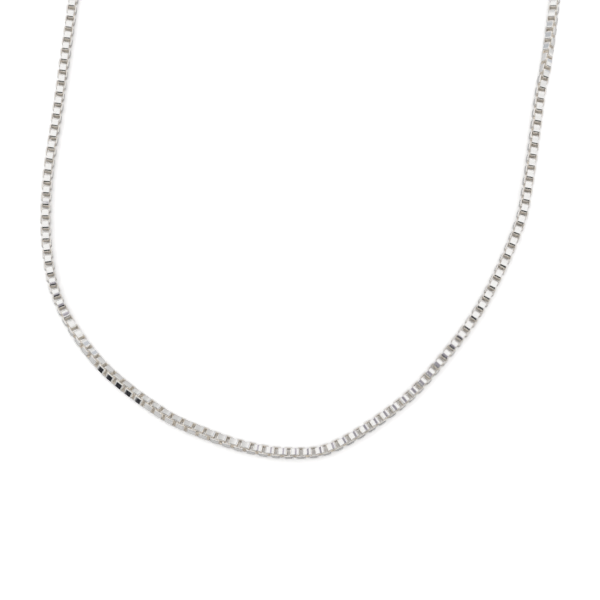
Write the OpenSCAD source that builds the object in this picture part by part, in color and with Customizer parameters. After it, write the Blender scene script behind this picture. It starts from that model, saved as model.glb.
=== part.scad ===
// Box chain necklace lying flat as one closed loop, with a round clasp at the top.
// +Z is up, +Y runs from the bottom of the loop towards the clasp.
// The origin is on the floor, under the middle of the loop.

/* [Chain] */
// Width of the chain across its flats
chain_w = 1.8; // [1.6:0.1:2.2]
// Sides of the chain's tube
chain_sides = 8; // [8:4:12]
// Distance between the rings of points along the tube
ring_step = 5.6; // [5.5:0.1:8]

/* [End loops] */
// Radius of an end loop, to the middle of its wire
loop_r = 1.2; // [1.1:0.05:1.3]
// Wire of an end loop
loop_wire = 0.5; // [0.4:0.05:0.6]
// Height of an end loop's middle above the floor
loop_z = 1; // [0.95:0.05:1.05]

/* [Jump rings] */
// Radius of a jump ring, to the middle of its wire
jump_r = 1.6; // [1.5:0.05:1.7]
// Wire of a jump ring
jump_wire = 0.5; // [0.4:0.05:0.55]
// Lean of a jump ring from upright, in degrees
jump_lean = 25; // [20:1:30]

/* [Clasp] */
// Radius of the clasp's ring, to the middle of its tube
clasp_r = 2.5; // [2.4:0.1:2.8]
// Tube of the clasp's ring
clasp_tube = 1; // [0.8:0.1:1]
// Height of the clasp's middle above the floor
clasp_z = 1.25; // [1.2:0.05:1.3]
// Radius of the thumb knob on the clasp
knob_r = 0.4; // [0.3:0.05:0.5]

/* [Hidden] */
$fn = 48;

// Middle of the clasp, and the line that the rings lie along
clasp_x = 1.3;
top_y = 89;
// How far the eye's wire is sunk in the clasp's tube, where it is soldered
solder = 0.05;
// Distance between the middles of two round pieces that link
link_step = 1.5;

// Places of the rings along X, from the left end of the chain to the right one
eye_x = clasp_x - clasp_r - clasp_tube / 2 - loop_r + solder;
clasp_ring_x = eye_x - link_step;
left_loop_x = clasp_ring_x - link_step;
end_ring_x = clasp_x + clasp_r + 0.4;
right_loop_x = end_ring_x + link_step + 0.1;

// Route of the chain's middle line, from its left end round the bottom to its right end
ROUTE = [
    [-7, 89], [-22, 85], [-34, 75], [-41, 60.5],
    [-43.5, 44], [-43.5, 28], [-43.5, 12], [-43, -3],
    [-42.5, -14], [-42, -26], [-41.5, -38], [-41, -50.5],
    [-39, -62], [-35, -71.5], [-26.5, -80.75], [-15.5, -87.25],
    [-8, -89.75], [0, -91.25], [7, -91.25], [14, -89.25],
    [23.5, -81.25], [29.5, -73.25], [35.5, -62.5], [40, -49],
    [41, -40], [41.5, -24.5], [42, -18.5], [42.5, -3],
    [43, 10], [43.5, 24], [43.5, 38], [42, 54],
    [37.5, 68.5], [29, 80], [18, 87], [7, 89]
];
// Fine points in each span of the route
fine = 8;

// Point of the route past a list's end, so that the curve leaves its last point straight
function before(p) = 2 * p[0] - p[1];
function after(p) = 2 * p[len(p) - 1] - p[len(p) - 2];
function padded(p) = concat([before(p)], p, [after(p)]);

// Catmull-Rom point between b and c, at t from 0 to 1
function blend(a, b, c, d, t) =
    (2 * b + (c - a) * t + (2 * a - 5 * b + 4 * c - d) * t * t
        + (3 * b - 3 * c + d - a) * t * t * t) / 2;

// Smooth line through the route, as many short straight steps
function smooth(q) = concat(
    [for (i = [1:len(q) - 3], k = [0:fine - 1])
        blend(q[i - 1], q[i], q[i + 1], q[i + 2], k / fine)],
    [q[len(q) - 2]]);

// Distance along a line at each of its points
function distances(p) =
    [for (i = 0, s = 0; i < len(p); i = i + 1, s = i < len(p) ? s + norm(p[i] - p[i - 1]) : s) s];

line = smooth(padded(ROUTE));
along = distances(line);
chain_length = along[len(along) - 1];
x_table = [for (i = [0:len(line) - 1]) [along[i], line[i][0]]];
y_table = [for (i = [0:len(line) - 1]) [along[i], line[i][1]]];

// Point of the middle line at distance s from the left end
function place(s) = [lookup(s, x_table), lookup(s, y_table)];

// Direction of the middle line at distance s
function heading(s) =
    let (d = place(min(s + 1, chain_length)) - place(max(s - 1, 0))) d / norm(d);

// Ring of points round the middle line, with a flat side down
function section(s) =
    let (c = place(s), h = heading(s), r = chain_w / 2 / cos(180 / chain_sides))
    [for (j = [0:chain_sides - 1])
        let (a = (j + 0.5) * 360 / chain_sides)
        [c[0] + h[1] * r * cos(a), c[1] - h[0] * r * cos(a), chain_w / 2 + r * sin(a)]];

// Tube swept along the route, closed at both ends
module tube() {
    n = chain_sides;
    last = ceil(chain_length / ring_step);
    points = [for (i = [0:last]) each section(i * chain_length / last)];
    sides = [for (i = [0:last - 1], j = [0:n - 1])
        let (k = (j + 1) % n)
        [i * n + j, (i + 1) * n + j, (i + 1) * n + k, i * n + k]];
    caps = [[for (j = [0:n - 1]) j], [for (j = [n - 1:-1:0]) last * n + j]];
    polyhedron(points = points, faces = concat(sides, caps), convexity = 10);
}

// Flat ring of round wire about the origin
module wire_ring(r, wire) {
    rotate_extrude()
        translate([r, 0])
            circle(d = wire, $fn = 24);
}

// Jump ring that leans and touches the floor at its lowest point
module jump_ring(x, lean) {
    translate([x, top_y, jump_r * cos(lean) + jump_wire / 2])
        rotate([90 - lean, 0, 0])
            wire_ring(jump_r, jump_wire);
}

// Chain, with the loop that is soldered flat on each of its ends
module chain() {
    color("silver") {
        tube();
        for (x = [left_loop_x, right_loop_x])
            translate([x, top_y, loop_z])
                wire_ring(loop_r, loop_wire);
    }
}

// Ring that joins the chain's left end to the clasp's eye
module clasp_ring() {
    color("silver") jump_ring(clasp_ring_x, jump_lean);
}

// Plain round clasp with its eye and its thumb knob
module clasp() {
    color("silver") {
        translate([clasp_x, top_y, clasp_z]) {
            wire_ring(clasp_r, clasp_tube);
            translate([0, clasp_r + clasp_tube / 2 - knob_r / 2 + solder, 0])
                sphere(knob_r);
        }
        translate([eye_x, top_y, clasp_z]) wire_ring(loop_r, loop_wire);
    }
}

// Ring at the chain's right end, in which the clasp closes
module end_ring() {
    color("silver") jump_ring(end_ring_x, jump_lean);
}

chain();
clasp_ring();
clasp();
end_ring();
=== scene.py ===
import bpy
import numpy as np
from mathutils import Matrix, Vector


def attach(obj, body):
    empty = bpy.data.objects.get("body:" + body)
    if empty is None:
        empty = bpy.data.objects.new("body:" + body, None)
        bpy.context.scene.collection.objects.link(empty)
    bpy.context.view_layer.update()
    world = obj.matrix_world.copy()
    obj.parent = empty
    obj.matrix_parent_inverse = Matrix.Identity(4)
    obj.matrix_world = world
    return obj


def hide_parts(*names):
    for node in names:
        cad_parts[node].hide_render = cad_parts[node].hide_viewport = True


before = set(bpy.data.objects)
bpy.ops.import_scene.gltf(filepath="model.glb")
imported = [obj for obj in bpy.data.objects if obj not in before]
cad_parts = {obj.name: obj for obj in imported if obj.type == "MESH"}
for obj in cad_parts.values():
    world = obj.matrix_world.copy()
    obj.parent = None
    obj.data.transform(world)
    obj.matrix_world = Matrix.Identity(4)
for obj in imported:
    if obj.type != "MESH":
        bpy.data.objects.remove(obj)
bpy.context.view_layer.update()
MM = 0.001


# Camera. It looks down on the lying necklace from 78 degrees above the floor, a little turned
# and rolled, so that the strands run out at the top edge of the picture as in the photograph.
LOOK_AT = Vector((5.2, -65.8, 1.5)) * MM
DISTANCE = 204.6 * MM
TURN_DEG = 17.4
TILT_DEG = 12.2
ROLL_DEG = 9.9
SENSOR_MM = 36
FOCAL_PX = 1221.5
PICTURE_PX = 600

camera_data = bpy.data.cameras.new("camera")
camera_data.sensor_width = SENSOR_MM
camera_data.lens = FOCAL_PX / PICTURE_PX * SENSOR_MM
camera_data.clip_start = 1 * MM
camera = bpy.data.objects.new("camera", camera_data)
bpy.context.scene.collection.objects.link(camera)
turned = (
    Matrix.Rotation(np.radians(TURN_DEG), 4, "Z")
    @ Matrix.Rotation(np.radians(TILT_DEG), 4, "X")
    @ Matrix.Rotation(np.radians(-ROLL_DEG), 4, "Z")
)
camera.matrix_world = Matrix.Translation(LOOK_AT + turned @ Vector((0, 0, DISTANCE))) @ turned
bpy.context.scene.camera = camera


# Chain of box links. Each link is a short length of flat silver strip, bent into a square ring
# through the link before it and closed, and turned a quarter round the chain from its neighbours.
# The chain lies in one closed loop and is twisted in two places, where it shows its edges.
CHAIN_ROUTE = MM * np.array([
    # x and y of its middle line, from its left end round the bottom to its right end
    [-7, 89], [-22, 85], [-34, 75], [-41, 60.5],
    [-43.5, 44], [-43.5, 28], [-43.5, 12], [-43, -3],
    [-42.5, -14], [-42, -26], [-41.5, -38], [-41, -50.5],
    [-39, -62], [-35, -71.5], [-26.5, -80.75], [-15.5, -87.25],
    [-8, -89.75], [0, -91.25], [7, -91.25], [14, -89.25],
    [23.5, -81.25], [29.5, -73.25], [35.5, -62.5], [40, -49],
    [41, -40], [41.5, -24.5], [42, -18.5], [42.5, -3],
    [43, 10], [43.5, 24], [43.5, 38], [42, 54],
    [37.5, 68.5], [29, 80], [18, 87], [7, 89],
])
ROUTE_STEPS = 40
# Lean of the chain's upper face towards the inside of the loop, along the chain
TWIST = np.array([
    # mm along, degrees
    (0, 0), (60, 4), (120, 6), (150, 9), (180, 10), (184, 16), (186, 22), (188, 30),
    (190, 38), (192, 45), (194, 49), (200, 49), (201, 45), (203, 44.5), (208.5, 39), (213, 32),
    (217, 25), (221, 20), (225, 14), (229, 11), (238, 7), (246, 5), (256, 2), (264, -1),
    (272, -4), (291, -5),
    (309, -8), (311.5, -10), (313.5, -18), (315.5, -28), (317.5, -40), (319.5, -54),
    (322.5, -62), (324.5, -66), (326.5, -70), (328, -73), (334, -90), (443, -90),
])
LINK_LENGTH = 1.58 * MM
LINK_WIDTH = 1.8 * MM
LINK_PITCH = 1.0239 * MM
FIRST_LINK = 0.739 * MM
STRIP_WIDTH = 1.1 * MM
STRIP_THICKNESS = 0.27 * MM
STRIP_EDGE = 0.05 * MM
BEND_RADIUS = 0.36 * MM
CROWN_DEG = 8
# Slope at which the strip's edges round over to its faces
EDGE_SPLAY = 0.2
# How recessed the strip's edges are, where its inner face has 1, and how quickly the ends of a
# link, which its neighbours cover, come out of their recess round its bends
EDGE_RECESS = 0.3
END_RECESS_POWER = 6
# Unevenness of the links: their lean, their aim, and where their rubbing marks start, in mm
LEAN_SHAKE_DEG = 1.0
AIM_SHAKE_DEG = 0.8
MARKS_START = 40
SHAKE_SEED = 11


def smooth_line(points, steps):
    """Smooth line through points, in equal steps of t between them: between b and c, at t from
    0 to 1, it is (2b + (c - a)t + (2a - 5b + 4c - d)t^2 + (3b - 3c + d - a)t^3) / 2."""
    q = np.vstack([2 * points[0] - points[1], points, 2 * points[-1] - points[-2]])
    a, b, c, d = (q[i:len(q) - 3 + i, None] for i in range(4))
    t = (np.arange(steps) / steps)[None, :, None]
    spans = (
        2 * b + (c - a) * t + (2 * a - 5 * b + 4 * c - d) * t**2 + (3 * b - 3 * c + d - a) * t**3
    ) / 2
    return np.vstack([spans.reshape(-1, points.shape[1]), points[-1:]])


def unit(v):
    """Each vector of an array, divided by its own length."""
    return v / np.linalg.norm(v, axis=-1, keepdims=True)


def link_grid():
    """One link round the origin, its ring in the XY plane and its strip across Z. The path goes
    round the four bends, whose first and last steps start a few degrees in, so that the flats
    between them are a little crowned. At each step the strip's section has six points,
    joined by six sides: outer face, worn corner, edge, inner face, edge, worn corner. Returns the
    points; for each side of the section, the directions that its two ends face; each point's
    distances along the strip and round its section, in mm; and how recessed it is, 0 to 1."""
    bend = np.array([[CROWN_DEG, 45, 90 - CROWN_DEG]])
    turn = np.radians(bend + 90 * np.arange(4)[:, None]).ravel()
    out = np.stack([np.cos(turn), np.sin(turn), 0 * turn], -1)
    sign = np.repeat([[1, 1, 0], [-1, 1, 0], [-1, -1, 0], [1, -1, 0]], 3, axis=0)
    centre = sign * (np.array([LINK_LENGTH, LINK_WIDTH, 0]) / 2 - BEND_RADIUS)
    inner = BEND_RADIUS - STRIP_THICKNESS
    worn = BEND_RADIUS - STRIP_EDGE
    half = STRIP_WIDTH / 2
    radius = np.array([BEND_RADIUS, BEND_RADIUS, worn, inner, inner, worn])
    across = np.array([half - STRIP_EDGE, STRIP_EDGE - half, -half, -half, half, half])
    facing = np.array([
        # outwards and across, at the start and at the end of each side
        [(1, 0), (1, 0)], [(1, 0), (EDGE_SPLAY, -1)], [(EDGE_SPLAY, -1), (-EDGE_SPLAY, -1)],
        [(-1, 0), (-1, 0)], [(-EDGE_SPLAY, 1), (EDGE_SPLAY, 1)], [(EDGE_SPLAY, 1), (1, 0)],
    ])
    up = np.array([0, 0, 1])
    points = centre[:, None] + radius[None, :, None] * out[:, None] + across[None, :, None] * up
    normals = facing[None, ..., :1] * out[:, None, None] + facing[None, ..., 1:] * up
    length = np.r_[0, np.cumsum(np.linalg.norm(np.diff(points[:, 0], axis=0), axis=1))]
    girth = np.r_[0, np.cumsum(np.hypot(np.diff(radius), np.diff(across)))]
    ruler = np.stack(np.broadcast_arrays(length[:, None], girth[None]), -1) / MM
    section_recess = np.array([0, 0, EDGE_RECESS, 1, 1, EDGE_RECESS])
    recess = np.maximum(out[:, :1] ** END_RECESS_POWER, section_recess)
    return points, normals, ruler, recess


def grid_faces(rows, columns):
    """Quads of a grid that closes on itself both ways, as four point numbers each."""
    i, j = np.meshgrid(np.arange(rows), np.arange(columns), indexing="ij")
    up, right = (i + 1) % rows, (j + 1) % columns
    quads = np.stack([i * columns + j, up * columns + j, up * columns + right, i * columns + right])
    return quads.reshape(4, -1).T


def surface(name, points, quads, normals, ruler, recess):
    """Mesh object at the origin from arrays: points, quads of point numbers, and the direction
    that each corner of each quad faces. A quad that runs the wrong way round is turned over.
    ruler gives each corner's place on the strip as the map "strip", and recess each point's."""
    corner = points[quads]
    facing = np.cross(corner[:, 2] - corner[:, 0], corner[:, 3] - corner[:, 1])
    wrong = (facing * normals.sum(1)).sum(-1) < 0
    quads = np.where(wrong[:, None], quads[:, ::-1], quads)
    normals = np.where(wrong[:, None, None], normals[:, ::-1], normals)
    ruler = np.where(wrong[:, None, None], ruler[:, ::-1], ruler)
    mesh = bpy.data.meshes.new(name)
    mesh.vertices.add(len(points))
    mesh.vertices.foreach_set("co", points.astype(np.float32).ravel())
    mesh.loops.add(quads.size)
    mesh.loops.foreach_set("vertex_index", quads.astype(np.int32).ravel())
    mesh.polygons.add(len(quads))
    mesh.polygons.foreach_set("loop_start", np.arange(0, quads.size, 4, dtype=np.int32))
    mesh.update(calc_edges=True)
    mesh.validate()
    mesh.shade_smooth()
    mesh.uv_layers.new(name="strip").uv.foreach_set("vector", ruler.astype(np.float32).ravel())
    recessed = mesh.attributes.new("recess", "FLOAT", "POINT")
    recessed.data.foreach_set("value", recess.astype(np.float32))
    mesh.normals_split_custom_set(unit(normals).reshape(-1, 3).astype(np.float32))
    obj = bpy.data.objects.new(name, mesh)
    bpy.context.scene.collection.objects.link(obj)
    return obj


# The links' middles stand one pitch apart along the route, as many as fit on it
route = smooth_line(CHAIN_ROUTE, ROUTE_STEPS)
along = np.r_[0, np.cumsum(np.linalg.norm(np.diff(route, axis=0), axis=1))]
count = int((along[-1] - LINK_LENGTH / 2 - FIRST_LINK) / LINK_PITCH) + 1
at = FIRST_LINK + LINK_PITCH * np.arange(count)


def chain_axis(s):
    """Middle line at distances s: the route in plan, and the height at which the cross-shaped
    section rests on the floor, W/2 cos(lean) + w/2 sin(lean), for the lean from its flattest side."""
    plan = [np.interp(s, along, route[:, k]) for k in range(2)]
    lean = np.radians(np.interp(s, TWIST[:, 0] * MM, TWIST[:, 1]))
    tipped = np.abs((lean + np.pi / 4) % (np.pi / 2) - np.pi / 4)
    height = LINK_WIDTH / 2 * np.cos(tipped) + STRIP_WIDTH / 2 * np.sin(tipped)
    return np.stack([*plan, height], -1), lean


# Each link's own axes: ahead along the chain, outer out of one of its faces, and across along
# the width of its strip. Every second link is a quarter turn further round the chain
centre, lean = chain_axis(at)
ahead = unit(chain_axis(at + LINK_PITCH / 2)[0] - chain_axis(at - LINK_PITCH / 2)[0])
sideways = unit(np.cross([0, 0, 1], ahead))
upright = np.cross(ahead, sideways)
is_flat = (np.arange(count) + 1) % 2
lean = lean + np.where(is_flat, 0, np.pi / 2)
shake = np.random.default_rng(SHAKE_SEED)
lean = lean + np.radians(shake.normal(0, LEAN_SHAKE_DEG, count))
outer = upright * np.cos(lean)[:, None] + sideways * np.sin(lean)[:, None]
ahead = unit(ahead + np.radians(AIM_SHAKE_DEG) * shake.normal(0, 1, (count, 3)))
across = unit(np.cross(ahead, outer))
outer = np.cross(across, ahead)
axes = np.stack([ahead, outer, across], 1)

# One link's arrays, with a direction for each corner of each quad, carried to every link's place
shape, facing, ruler, recess = link_grid()
steps, sides = shape.shape[:2]
after = (np.arange(steps) + 1) % steps
facing = np.stack([
    facing[:, :, 0], facing[after][:, :, 0], facing[after][:, :, 1], facing[:, :, 1],
], 2)
link_points = centre[:, None] + shape.reshape(-1, 3) @ axes
link_normals = facing.reshape(-1, 3) @ axes
one_link = grid_faces(steps, sides)
link_quads = one_link[None] + steps * sides * np.arange(count)[:, None, None]
link_ruler = ruler.reshape(-1, 2)[one_link][None] + MARKS_START * shake.random((count, 1, 1, 2))
chain = surface(
    "chain_links", link_points.reshape(-1, 3), link_quads.reshape(-1, 4),
    link_normals.reshape(-1, 4, 3), link_ruler.reshape(-1, 4, 2), np.tile(recess.ravel(), count)
)


def node(tree, kind, inputs=None, **settings):
    """Adds a shader node with its settings; an input is a value, or a socket to link from."""
    made = tree.nodes.new(kind)
    for name, value in settings.items():
        setattr(made, name, value)
    for name, value in (inputs or {}).items():
        if isinstance(value, bpy.types.NodeSocket):
            tree.links.new(value, made.inputs[name])
        else:
            made.inputs[name].default_value = value
    return made


def colour(hex_text):
    """Linear colour of an sRGB hex value: c/12.92 below 0.04045, else ((c + 0.055)/1.055)^2.4."""
    c = np.array([int(hex_text[i:i + 2], 16) for i in (1, 3, 5)]) / 255
    linear = np.where(c < 0.04045, c / 12.92, ((c + 0.055) / 1.055) ** 2.4)
    return (*linear.tolist(), 1)


def new_material(name):
    """Empty material with an output node; returns the material, its tree and the output."""
    material = bpy.data.materials.new(name)
    material.use_nodes = True
    tree = material.node_tree
    tree.nodes.clear()
    return material, tree, node(tree, "ShaderNodeOutputMaterial")


# Sterling silver, rolled to strip and tumbled bright: nearly white and mirror-like on the faces,
# with soft waves and fine rubbing marks along the strip, and duller in the recesses, where polish
# doesn't reach. The recesses also get a painted shade, a slightly darker and warmer colour.
FACE_COLOUR = colour("#FBFAF8")
# Painted shade: the recesses' colour, slightly darker and warmer than the faces'
RECESS_SHADE_COLOUR = colour("#F9F5EF")
FACE_ROUGHNESS = (0.04, 0.16)
RECESS_ROUGHNESS = 0.6
WAVE_LENGTH = 0.9 * MM
WAVE_DEPTH = 0.02 * MM
# Rubbing marks to a millimetre, along the strip and across it
MARKS_PER_MM = (1.2, 25, 1)
MARK_DEPTH = 0.004 * MM
# Sockets of a Mix node that mixes colours: its factor, its two colours and its result
FACTOR, UNDER, OVER, MIXED = 0, 6, 7, 2

silver, tree, output = new_material("polished_sterling_silver")
dull_and_shaded = node(tree, "ShaderNodeAttribute", attribute_name="recess").outputs["Fac"]
place = node(tree, "ShaderNodeTexCoord").outputs["Object"]
strip = node(tree, "ShaderNodeUVMap", uv_map="strip").outputs["UV"]
waves = node(tree, "ShaderNodeTexNoise", {
    "Vector": place, "Scale": 1 / WAVE_LENGTH, "Detail": 2,
}).outputs["Fac"]
stretched = node(tree, "ShaderNodeMapping", {"Vector": strip, "Scale": MARKS_PER_MM}).outputs["Vector"]
marks = node(tree, "ShaderNodeTexNoise", {"Vector": stretched, "Scale": 1, "Detail": 3}).outputs["Fac"]
# Painted shade: the recess value mixes the faces' colour towards the darker, warmer recess colour
tone = node(tree, "ShaderNodeMix", {
    FACTOR: dull_and_shaded, UNDER: FACE_COLOUR, OVER: RECESS_SHADE_COLOUR,
}, data_type="RGBA")
shine = node(tree, "ShaderNodeMapRange", {
    "Value": marks, "To Min": FACE_ROUGHNESS[0], "To Max": FACE_ROUGHNESS[1],
}).outputs["Result"]
rough = node(tree, "ShaderNodeMath", {0: dull_and_shaded, 1: RECESS_ROUGHNESS, 2: shine}, operation="MULTIPLY_ADD")
dents = node(tree, "ShaderNodeBump", {
    "Height": waves, "Strength": 0.2, "Distance": WAVE_DEPTH,
}).outputs["Normal"]
rubbed = node(tree, "ShaderNodeBump", {
    "Height": marks, "Strength": 0.1, "Distance": MARK_DEPTH, "Normal": dents,
}).outputs["Normal"]
metal = node(tree, "ShaderNodeBsdfPrincipled", {
    "Base Color": tone.outputs[MIXED], "Metallic": 1.0,
    "Roughness": rough.outputs["Value"], "Normal": rubbed,
})
tree.links.new(metal.outputs["BSDF"], output.inputs["Surface"])


def finish_silver(piece, replaced):
    """Gives a piece the silver and lets it stand for a CAD node."""
    piece.data.materials.append(silver)
    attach(piece, "root")
    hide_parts(replaced)


finish_silver(chain, "chain")


# End loops. A small ring of round silver wire is soldered flat on the last link at each end of
# the chain, and the solder makes the wire thicker where they meet.
LOOP_RADIUS = 1.2 * MM
LOOP_WIRE = 0.5 * MM
LOOP_HEIGHT = 1.0 * MM
LEFT_LOOP_X = -5.85 * MM
RIGHT_LOOP_X = 5.8 * MM
# Line across the top of the necklace that the loops, the rings and the clasp lie along
TOP_Y = 89 * MM
LOOP_SOLDER = 0.2 * MM
# How far round the loop the solder runs, in radians
SOLDER_SPREAD = 0.35
# How recessed the solder and the inside of a ring are
SOLDER_RECESS = 0.4
INSIDE_RECESS = 0.3
# Steps of the grid round a ring and round its wire, and the number of fine points at a seam
TURN_STEP_DEG = 4
WIRE_STEP_DEG = 18
FINE_POINTS = 13


def ring_angles(fine_deg=(), reach_deg=3, sides_deg=np.arange(0, 360, WIRE_STEP_DEG)):
    """Grids of angles round a ring and round its wire, in radians. Round the ring they stand one
    step apart, and closer within reach_deg of the fine ones."""
    close = [fine + np.linspace(-reach_deg, reach_deg, FINE_POINTS) for fine in fine_deg]
    turns_deg = np.concatenate([np.arange(0, 360, TURN_STEP_DEG), *close]) % 360
    turns_deg = np.unique(np.round(turns_deg, 3))
    return np.meshgrid(np.radians(turns_deg), np.radians(sides_deg), indexing="ij")


def from_direction(turn, direction_deg):
    """Angles round a ring, counted from a direction and kept within half a turn of it: the angle
    of the complex number e^(i(turn - direction))."""
    return np.angle(np.exp(1j * (turn - np.radians(direction_deg))))


def inside_recess(side):
    """How recessed a ring's wire is at angles round it: a share of -cos(side), and 0 outside."""
    return INSIDE_RECESS * np.clip(-np.cos(side), 0, 1)


def wire_ring(name, middle, lean_deg, radius, turn, side, thick, recess):
    """Ring of wire about middle, turned up from the floor about X by lean_deg. turn and side are
    grids of angles round the ring and round its wire, from outwards to up; thick is the wire's
    radius there, and recess how recessed it is. The directions it faces are the cross products
    of its steps along and round the wire."""
    out = radius + thick * np.cos(side)
    flat = np.stack([out * np.cos(turn), out * np.sin(turn), thick * np.sin(side)], -1)
    along_wire = np.roll(flat, -1, 0) - np.roll(flat, 1, 0)
    round_wire = np.roll(flat, -1, 1) - np.roll(flat, 1, 1)
    tipped = np.array(Matrix.Rotation(np.radians(lean_deg), 3, "X")).T
    points = flat.reshape(-1, 3) @ tipped + middle
    facing = unit(np.cross(along_wire, round_wire)).reshape(-1, 3) @ tipped
    quads = grid_faces(*turn.shape)
    i, j = np.indices(turn.shape).reshape(2, -1, 1) + np.array([[[0, 1, 1, 0]], [[0, 0, 1, 1]]])
    turns, sides = np.append(turn[:, 0], 2 * np.pi), np.append(side[0], 2 * np.pi)
    ruler = np.stack([turns[i] * radius, sides[j] * thick.mean()], -1) / MM
    return surface(name, points, quads, facing[quads], ruler, recess.ravel())


def soldered_loop(name, x, height, joint_deg, replaced):
    """Flat ring of wire that stands for part of a CAD node. Near its joint, solder adds to the
    wire's radius: LOOP_SOLDER times exp(-(angle from the joint / SOLDER_SPREAD)^2)."""
    turn, side = ring_angles()
    near = np.exp(-((from_direction(turn, joint_deg) / SOLDER_SPREAD) ** 2))
    loop = wire_ring(
        name, (x, TOP_Y, height), 0, LOOP_RADIUS, turn, side,
        LOOP_WIRE / 2 + LOOP_SOLDER * near, SOLDER_RECESS * near + inside_recess(side)
    )
    finish_silver(loop, replaced)


soldered_loop("left_end_loop", LEFT_LOOP_X, LOOP_HEIGHT, 180, "chain")
soldered_loop("right_end_loop", RIGHT_LOOP_X, LOOP_HEIGHT, 0, "chain")


# Jump rings, of round silver wire bent into a circle, with a fine seam where its ends meet. One
# joins the chain's left loop to the clasp, and the clasp closes in the other. They lean.
JUMP_RADIUS = 1.6 * MM
JUMP_WIRE = 0.5 * MM
JUMP_TURNED_DEG = 65
CLASP_RING_X = -4.35 * MM
END_RING_X = 4.2 * MM
SEAM_DEG = 100
SEAM_WIDTH = 0.05 * MM
SEAM_DEPTH = 0.06 * MM

turn, side = ring_angles([SEAM_DEG])
seam = np.exp(-(((turn - np.radians(SEAM_DEG)) * JUMP_RADIUS / SEAM_WIDTH) ** 2))
jump_height = JUMP_RADIUS * np.sin(np.radians(JUMP_TURNED_DEG)) + JUMP_WIRE / 2
for replaced, x in (("clasp_ring", CLASP_RING_X), ("end_ring", END_RING_X)):
    jump = wire_ring(
        replaced + "_wire", (x, TOP_Y, jump_height), JUMP_TURNED_DEG, JUMP_RADIUS, turn, side,
        JUMP_WIRE / 2 - SEAM_DEPTH * seam, np.maximum(seam, inside_recess(side))
    )
    finish_silver(jump, replaced)


# Spring clasp: a round silver tube, open on its right, where a thinner sprung bolt closes it. A
# thumb knob slides the bolt along a slot, and the eye is a flat wire ring soldered on its left.
CLASP_X = 1.3 * MM
CLASP_HEIGHT = 1.25 * MM
CLASP_RADIUS = 2.5 * MM
TUBE = 1.0 * MM
BOLT = 0.74 * MM
BOLT_DEG = (-20, 50)
TUBE_END_DEG = 0.5
# Rolled lip a little back from each end of the tube
LIP = 0.02 * MM
LIP_BACK_DEG = 2
LIP_SPREAD_DEG = 1.2
# Slot in the outer side of the tube; its half width is an angle round the tube, in radians
SLOT_DEG = (62, 97)
SLOT_END_DEG = 0.8
SLOT_HALF_WIDTH = 0.2
SLOT_DEPTH = 0.15 * MM
EYE_X = -2.85 * MM
KNOB_RADIUS = 0.2 * MM
KNOB_WIRE = 0.42 * MM
KNOB_OUT = 3.03 * MM
# Grid of the tube: fine steps near its ends, and near the slot's edges on its outer side
EDGE_REACH_DEG = 1.5
TUBE_SIDES_DEG = np.unique(np.r_[np.arange(0, 360, 15), [5, 9, 12, 348, 351, 355]])

turn, side = ring_angles([*BOLT_DEG, *SLOT_DEG], EDGE_REACH_DEG, TUBE_SIDES_DEG)
bolt_middle = sum(BOLT_DEG) / 2
angle = np.degrees(from_direction(turn, bolt_middle)) + bolt_middle
# Degrees into the tube from the nearer end of the bolt, and negative along the bolt
past = np.maximum(BOLT_DEG[0] - angle, angle - BOLT_DEG[1])
tube = np.clip(past / TUBE_END_DEG + 0.5, 0, 1)
lip = np.exp(-(((past - LIP_BACK_DEG) / LIP_SPREAD_DEG) ** 2))
inside_slot = np.clip(np.minimum(angle - SLOT_DEG[0], SLOT_DEG[1] - angle) / SLOT_END_DEG, 0, 1)
slot = inside_slot * np.exp(-((from_direction(side, 0) / SLOT_HALF_WIDTH) ** 4))
clasp_tube = wire_ring(
    "clasp_tube", (CLASP_X, TOP_Y, CLASP_HEIGHT), 0, CLASP_RADIUS, turn, side,
    (BOLT + (TUBE - BOLT) * tube) / 2 + LIP * lip - SLOT_DEPTH * slot,
    np.maximum(slot, inside_recess(side))
)
finish_silver(clasp_tube, "clasp")

soldered_loop("clasp_eye", EYE_X, CLASP_HEIGHT, 0, "clasp")

turn, side = ring_angles()
knob = wire_ring(
    "clasp_knob", (CLASP_X, TOP_Y + KNOB_OUT, CLASP_HEIGHT), 90, KNOB_RADIUS, turn, side,
    np.full(turn.shape, KNOB_WIRE / 2), 0 * turn
)
finish_silver(knob, "clasp")


# Floor: a plain white board, larger than any view of the necklace needs. The links and the
# shadows get its real white, and the camera a bleached one, as the photograph's background is.
FLOOR_SIZE = 3.0
BOARD_WHITE = colour("#DFDFDF")
BLEACHED = 1.6


def grey(brightness):
    """Linear grey, which is white at 1 and bleached above it."""
    return (brightness, brightness, brightness, 1)


floor_mesh = bpy.data.meshes.new("floor")
edge = FLOOR_SIZE / 2
floor_mesh.from_pydata(
    [(-edge, -edge, 0), (edge, -edge, 0), (edge, edge, 0), (-edge, edge, 0)], [], [(0, 1, 2, 3)]
)
floor = bpy.data.objects.new("floor", floor_mesh)
bpy.context.scene.collection.objects.link(floor)
board, tree, output = new_material("white_board")
seen = node(tree, "ShaderNodeLightPath").outputs["Is Camera Ray"]
white = node(tree, "ShaderNodeMix", {
    FACTOR: seen, UNDER: BOARD_WHITE, OVER: grey(BLEACHED),
}, data_type="RGBA")
card = node(tree, "ShaderNodeBsdfDiffuse", {"Color": white.outputs[MIXED]})
tree.links.new(card.outputs["BSDF"], output.inputs["Surface"])
floor_mesh.materials.append(board)


# Camera's front: a black body behind the lens and two pale lilac-grey plates above it, which the
# chain's polished faces mirror. They are painted board, left out of the picture itself.
PAINT_ROUGHNESS = 0.9


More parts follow.
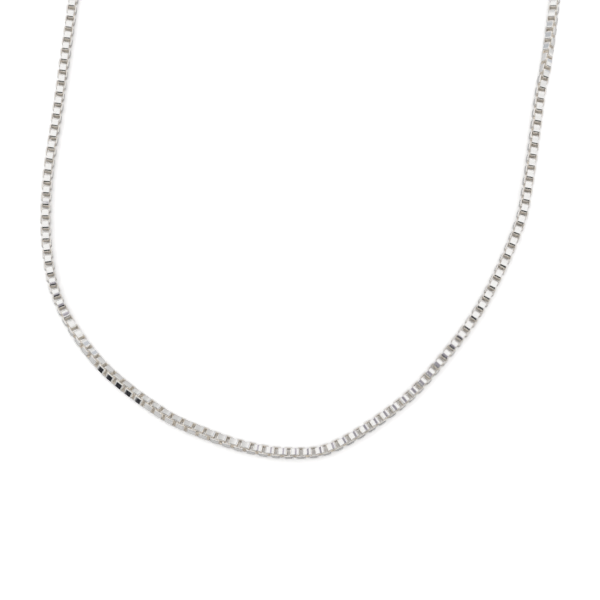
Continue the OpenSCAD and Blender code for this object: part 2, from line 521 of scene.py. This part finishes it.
def plate(name, left, right, bottom, top, back, tint):
    """Rectangle that faces the necklace, hidden from the camera: its edges in mm from the camera's
    axis, and how far it stands back from the camera."""
    mesh = bpy.data.meshes.new(name)
    rim = ((left, bottom), (right, bottom), (right, top), (left, top))
    corners = [Vector((x, y, back)) * MM for x, y in rim]
    mesh.from_pydata([camera.matrix_world @ corner for corner in corners], [], [(0, 1, 2, 3)])
    obj = bpy.data.objects.new(name, mesh)
    bpy.context.scene.collection.objects.link(obj)
    coating, tree, output = new_material("matt_paint_" + name)
    paint = node(tree, "ShaderNodeBsdfPrincipled", {
        "Base Color": colour(tint), "Roughness": PAINT_ROUGHNESS,
    })
    tree.links.new(paint.outputs["BSDF"], output.inputs["Surface"])
    mesh.materials.append(coating)
    obj.visible_camera = False


plate("black_body", left=-100, right=80, bottom=-120, top=30, back=3, tint="#060606")
plate("low_plate", left=-17, right=25, bottom=30, top=125, back=4, tint="#A9A5B0")
plate("high_plate", left=-7, right=33, bottom=125, top=220, back=4, tint="#D3CEDA")


# Light: a white tent round the necklace. The camera and the floor see it plain white, and the
# polished faces see it with a few darker areas. Light that one link mirrors to another is
# brighter, and light that links mirror to the floor is dimmer.
TENT = 0.93
MIRRORED_AGAIN = 1.4
MIRRORED_TO_FLOOR = 0.3
SKY_AREAS = (
    # direction, degrees from it to which the area is full and at which it ends, linear colour
    ((0.954, 0.299, 0.9), 15, 32, grey(0.8)),
    ((-0.954, -0.299, 0.9), 15, 32, grey(0.9)),
    ((-0.299, 0.954, 0.15), 25, 50, grey(0.62)),
    ((-0.84, 0.36, 0.4), 12, 20, (0.5, 0.52, 0.55, 1)),
    ((0.67, 0.67, 0.3), 16, 22, (0.57, 0.59, 0.63, 1)),
    ((0.4, -0.9, 0.5), 30, 42, (0.02, 0.02, 0.018, 1)),
    ((-0.35, -0.9, 0.35), 15, 35, (0.12, 0.12, 0.11, 1)),
    ((-0.66, -0.75, 0.05), 12, 25, (0.02, 0.02, 0.025, 1)),
)

world = bpy.data.worlds.new("studio")
world.use_nodes = True
bpy.context.scene.world = world
tree = world.node_tree
tree.nodes.clear()
direction = node(tree, "ShaderNodeTexCoord").outputs["Generated"]


def patch(under, towards, inner_deg, outer_deg, tint):
    """A round area of the sky painted over what is under it, full to inner_deg from its
    direction and faded out at outer_deg."""
    facing = node(tree, "ShaderNodeVectorMath", {
        0: direction, 1: Vector(towards).normalized(),
    }, operation="DOT_PRODUCT")
    amount = node(tree, "ShaderNodeMapRange", {
        "Value": facing.outputs["Value"],
        "From Min": np.cos(np.radians(outer_deg)), "From Max": np.cos(np.radians(inner_deg)),
    }, interpolation_type="SMOOTHSTEP")
    mixed = node(tree, "ShaderNodeMix", {
        FACTOR: amount.outputs["Result"], UNDER: under, OVER: tint,
    }, data_type="RGBA")
    return mixed.outputs[MIXED]


sky = grey(TENT)
for towards, inner_deg, outer_deg, tint in SKY_AREAS:
    sky = patch(sky, towards, inner_deg, outer_deg, tint)
path = node(tree, "ShaderNodeLightPath").outputs
again = node(tree, "ShaderNodeMath", {0: path["Glossy Depth"], 1: 1.0}, operation="SUBTRACT")
bright = node(tree, "ShaderNodeMix", {
    FACTOR: again.outputs["Value"], UNDER: sky, OVER: grey(MIRRORED_AGAIN),
}, data_type="RGBA")
dim = node(tree, "ShaderNodeMix", {
    FACTOR: path["Diffuse Depth"], UNDER: bright.outputs[MIXED], OVER: grey(MIRRORED_TO_FLOOR),
}, data_type="RGBA")
backdrop = node(tree, "ShaderNodeMix", {
    FACTOR: path["Is Glossy Ray"], UNDER: grey(1), OVER: dim.outputs[MIXED],
}, data_type="RGBA")
light = node(tree, "ShaderNodeBackground", {"Color": backdrop.outputs[MIXED]})
tree.links.new(light.outputs["Background"], node(tree, "ShaderNodeOutputWorld").inputs["Surface"])
# Brightness shows as it is, so that white board and white light stay pure white
bpy.context.scene.view_settings.view_transform = "Standard"
